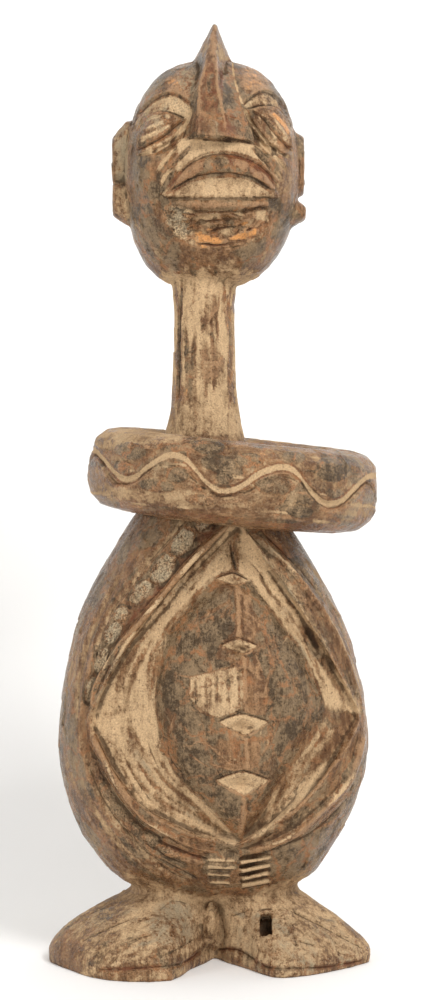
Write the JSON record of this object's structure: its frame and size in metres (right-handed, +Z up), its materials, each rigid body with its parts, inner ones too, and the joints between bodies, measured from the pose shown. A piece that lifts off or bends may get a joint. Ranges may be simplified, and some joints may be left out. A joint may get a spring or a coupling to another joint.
{
  "type": "nkishi figure",
  "caption": "Standing spirit figure carved from one log: tall crest, raised face, long neck, gourd-shaped body on splayed feet, with a loose wooden ring resting round its neck.",
  "frame": {"origin": "under the middle of the figure, on the surface that its soles stand on", "axes": "+Z up from the soles to the tip of the crest, -Y is the way the figure faces, +X is to the right of someone who looks at its face"},
  "size_m": [0.1697, 0.1509, 0.48],
  "materials": {
    "carved_wood": "hand carved, dark worn patina with pale clay in the recesses",
    "ring_wood": "hand carved, dark mottled patina with a pale groove"
  },
  "bodies": {
    "root": {"figure": "carved_wood", "ring": "ring_wood"}
  },
  "joints": []
}
